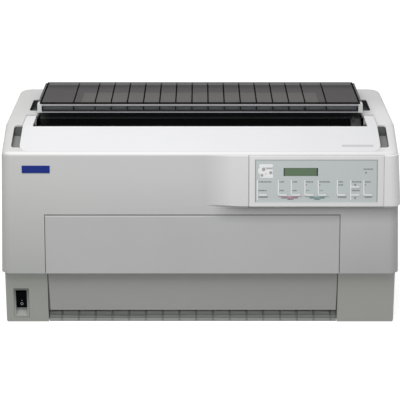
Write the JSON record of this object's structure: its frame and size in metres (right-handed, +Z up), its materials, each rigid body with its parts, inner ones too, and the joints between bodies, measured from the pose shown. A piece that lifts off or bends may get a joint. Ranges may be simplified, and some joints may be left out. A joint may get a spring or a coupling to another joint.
{
  "type": "dot matrix printer",
  "caption": "Wide-carriage impact printer with hinged top, front, rear and output covers, control panel, print carriage, platen and paper tractors.",
  "frame": {"origin": "middle of the printer's outline, on the plane its feet stand on", "axes": "+X to the right seen from the front, -Y to the front, +Z up"},
  "size_m": [0.705, 0.382, 0.363],
  "materials": {
    "case_plastic": "fine texture",
    "lower_plastic": "fine texture",
    "white_plastic": "fine texture",
    "overlay_film": "satin film",
    "display_glass": "glossy",
    "circuit_board": "satin",
    "blue_plate": "glossy",
    "switch_plastic": "satin",
    "steel_plate": "plated",
    "steel_bar": "ground",
    "motor_case": "satin",
    "black_plastic": "satin",
    "guide_plastic": "satin",
    "black_rubber": "matte",
    "ribbon_cloth": "inked",
    "dark_plastic": "satin",
    "smoked_plastic": "glossy",
    "roller_plastic": "satin",
    "head_metal": "anodised",
    "pulley_metal": "satin",
    "gear_plastic": "satin",
    "tractor_plastic": "satin",
    "lock_plastic": "satin",
    "key_plastic": "satin"
  },
  "bodies": {
    "chassis": {"base_tray": "lower_plastic", "upper_case": "case_plastic", "panel_bezel": "case_plastic", "panel_overlay": "overlay_film", "display_window": "display_glass", "panel_board": "circuit_board", "nameplate": "blue_plate", "entry_guide": "lower_plastic", "switch_bezel": "lower_plastic", "side_frame_left": "steel_plate", "side_frame_right": "steel_plate", "cross_rods": "steel_bar", "guide_rods": "steel_bar", "carriage_motor": "motor_case", "feed_motor": "motor_case", "lower_guide": "black_plastic", "exit_guide": "guide_plastic", "drive_belt": "black_rubber", "main_board": "circuit_board", "power_supply": "steel_plate", "fan_frame": "black_plastic", "power_inlet": "black_plastic", "interface_ports": "steel_plate", "feet": "black_rubber", "screws": "steel_bar", "ribbon_cartridge": "black_plastic", "ribbon": "ribbon_cloth", "hinge_brackets": "steel_plate"},
    "top_cover": {"top_cover": "white_plastic"},
    "tension_unit": {"tension_frame": "dark_plastic", "smoked_window": "smoked_plastic"},
    "tension_roller": {"tension_roller": "roller_plastic"},
    "front_cover": {"front_cover": "case_plastic"},
    "rear_cover": {"rear_cover": "case_plastic"},
    "power_rocker": {"power_rocker": "black_plastic"},
    "carriage": {"carriage": "dark_plastic", "print_head": "head_metal"},
    "motor_pulley": {"motor_pulley": "pulley_metal"},
    "idler_pulley": {"idler_pulley": "pulley_metal"},
    "platen": {"platen": "black_rubber", "platen_gear": "gear_plastic"},
    "feed_pinion": {"feed_pinion": "gear_plastic"},
    "idler_gear": {"idler_gear": "gear_plastic"},
    "tractor_shaft": {"tractor_shaft": "steel_bar"},
    "tractor_left": {"tractor_left": "tractor_plastic"},
    "tractor_right": {"tractor_right": "tractor_plastic"},
    "gate_left": {"tractor_gate_left": "tractor_plastic"},
    "gate_right": {"tractor_gate_right": "tractor_plastic"},
    "lock_left": {"tractor_lock_left": "lock_plastic"},
    "lock_right": {"tractor_lock_right": "lock_plastic"},
    "fan_rotor": {"fan_rotor": "black_plastic"},
    "key_1": {"key_1": "key_plastic"},
    "key_2": {"key_2": "key_plastic"},
    "key_3": {"key_3": "key_plastic"},
    "key_4": {"key_4": "key_plastic"},
    "key_5": {"key_5": "key_plastic"},
    "key_6": {"key_6": "key_plastic"},
    "key_7": {"key_7": "key_plastic"},
    "key_8": {"key_8": "key_plastic"},
    "key_9": {"key_9": "key_plastic"}
  },
  "joints": [
    {"name": "top_cover_hinge", "type": "hinge", "parent": "chassis", "child": "top_cover", "pos_m": [0, -0.02, 0.3315], "axis": [-1, 0, 0], "range_deg": [0, 75]},
    {"name": "tension_unit_hinge", "type": "hinge", "parent": "chassis", "child": "tension_unit", "pos_m": [0, 0.153, 0.331], "axis": [-1, 0, 0], "range_deg": [0, 60]},
    {"name": "tension_roller_spin", "type": "hinge", "parent": "tension_unit", "child": "tension_roller", "pos_m": [0, 0.001, 0.352], "axis": [1, 0, 0], "continuous": true},
    {"name": "front_cover_hinge", "type": "hinge", "parent": "chassis", "child": "front_cover", "pos_m": [0, -0.165, 0.034], "axis": [1, 0, 0], "range_deg": [0, 80]},
    {"name": "rear_cover_hinge", "type": "hinge", "parent": "chassis", "child": "rear_cover", "pos_m": [0, 0.1845, 0.109], "axis": [-1, 0, 0], "range_deg": [0, 88]},
    {"name": "power_rocker_tilt", "type": "hinge", "parent": "chassis", "child": "power_rocker", "pos_m": [-0.3198, -0.164, 0.0416], "axis": [-1, 0, 0], "range_deg": [0, 12]},
    {"name": "key_1_press", "type": "slide", "parent": "chassis", "child": "key_1", "axis": [0, 0.9794, -0.2018], "range_m": [0, 0.0007], "stiffness_N_per_m": 600, "springref_m": -0.0005},
    {"name": "key_2_press", "type": "slide", "parent": "chassis", "child": "key_2", "axis": [0, 0.9794, -0.2018], "range_m": [0, 0.0007], "stiffness_N_per_m": 600, "springref_m": -0.0005},
    {"name": "key_3_press", "type": "slide", "parent": "chassis", "child": "key_3", "axis": [0, 0.9794, -0.2018], "range_m": [0, 0.0007], "stiffness_N_per_m": 600, "springref_m": -0.0005},
    {"name": "key_4_press", "type": "slide", "parent": "chassis", "child": "key_4", "axis": [0, 0.9794, -0.2018], "range_m": [0, 0.0007], "stiffness_N_per_m": 600, "springref_m": -0.0005},
    {"name": "key_5_press", "type": "slide", "parent": "chassis", "child": "key_5", "axis": [0, 0.9794, -0.2018], "range_m": [0, 0.0007], "stiffness_N_per_m": 600, "springref_m": -0.0005},
    {"name": "key_6_press", "type": "slide", "parent": "chassis", "child": "key_6", "axis": [0, 0.9794, -0.2018], "range_m": [0, 0.0007], "stiffness_N_per_m": 600, "springref_m": -0.0005},
    {"name": "key_7_press", "type": "slide", "parent": "chassis", "child": "key_7", "axis": [0, 0.9794, -0.2018], "range_m": [0, 0.0007], "stiffness_N_per_m": 600, "springref_m": -0.0005},
    {"name": "key_8_press", "type": "slide", "parent": "chassis", "child": "key_8", "axis": [0, 0.9794, -0.2018], "range_m": [0, 0.0007], "stiffness_N_per_m": 600, "springref_m": -0.0005},
    {"name": "key_9_press", "type": "slide", "parent": "chassis", "child": "key_9", "axis": [0, 0.9794, -0.2018], "range_m": [0, 0.0007], "stiffness_N_per_m": 600, "springref_m": -0.0005},
    {"name": "carriage_travel", "type": "slide", "parent": "chassis", "child": "carriage", "axis": [1, 0, 0], "range_m": [0, 0.35]},
    {"name": "motor_pulley_spin", "type": "hinge", "parent": "chassis", "child": "motor_pulley", "pos_m": [-0.272, -0.071, 0.23], "axis": [0, 0, 1], "range_deg": [0, 1337.9]},
    {"name": "idler_pulley_spin", "type": "hinge", "parent": "chassis", "child": "idler_pulley", "pos_m": [0.272, -0.071, 0.23], "axis": [0, 0, 1], "range_deg": [0, 1337.9]},
    {"name": "platen_spin", "type": "hinge", "parent": "chassis", "child": "platen", "pos_m": [0, -0.001, 0.285], "axis": [1, 0, 0], "continuous": true},
    {"name": "pinion_spin", "type": "hinge", "parent": "chassis", "child": "feed_pinion", "pos_m": [0.312, -0.021, 0.25269], "axis": [1, 0, 0], "continuous": true},
    {"name": "idler_gear_spin", "type": "hinge", "parent": "chassis", "child": "idler_gear", "pos_m": [0.312, -0.0516, 0.2144], "axis": [1, 0, 0], "continuous": true},
    {"name": "tractor_shaft_spin", "type": "hinge", "parent": "chassis", "child": "tractor_shaft", "pos_m": [0, -0.091, 0.165], "axis": [1, 0, 0], "continuous": true},
    {"name": "tractor_left_slide", "type": "slide", "parent": "chassis", "child": "tractor_left", "axis": [1, 0, 0], "range_m": [-0.06, 0.06]},
    {"name": "tractor_right_slide", "type": "slide", "parent": "chassis", "child": "tractor_right", "axis": [1, 0, 0], "range_m": [-0.06, 0.06]},
    {"name": "gate_left_hinge", "type": "hinge", "parent": "tractor_left", "child": "gate_left", "pos_m": [-0.1625, -0.105, 0.166], "axis": [0, 0, -1], "range_deg": [0, 120]},
    {"name": "gate_right_hinge", "type": "hinge", "parent": "tractor_right", "child": "gate_right", "pos_m": [0.1625, -0.105, 0.166], "axis": [0, 0, 1], "range_deg": [0, 120]},
    {"name": "lock_left_hinge", "type": "hinge", "parent": "tractor_left", "child": "lock_left", "pos_m": [-0.141, -0.085, 0.19], "axis": [1, 0, 0], "range_deg": [0, 35]},
    {"name": "lock_right_hinge", "type": "hinge", "parent": "tractor_right", "child": "lock_right", "pos_m": [0.141, -0.085, 0.19], "axis": [1, 0, 0], "range_deg": [0, 35]},
    {"name": "fan_spin", "type": "hinge", "parent": "chassis", "child": "fan_rotor", "pos_m": [0.202, 0.169, 0.052], "axis": [0, 1, 0], "continuous": true}
  ],
  "couplings": [
    {"joint": "motor_pulley_spin", "follows": "carriage_travel", "rad_per_m": 66.667},
    {"joint": "idler_pulley_spin", "follows": "carriage_travel", "rad_per_m": 66.667},
    {"joint": "pinion_spin", "follows": "platen_spin", "ratio": -3.75},
    {"joint": "idler_gear_spin", "follows": "platen_spin", "ratio": 0.73171},
    {"joint": "tractor_shaft_spin", "follows": "platen_spin", "ratio": -1.3636}
  ]
}
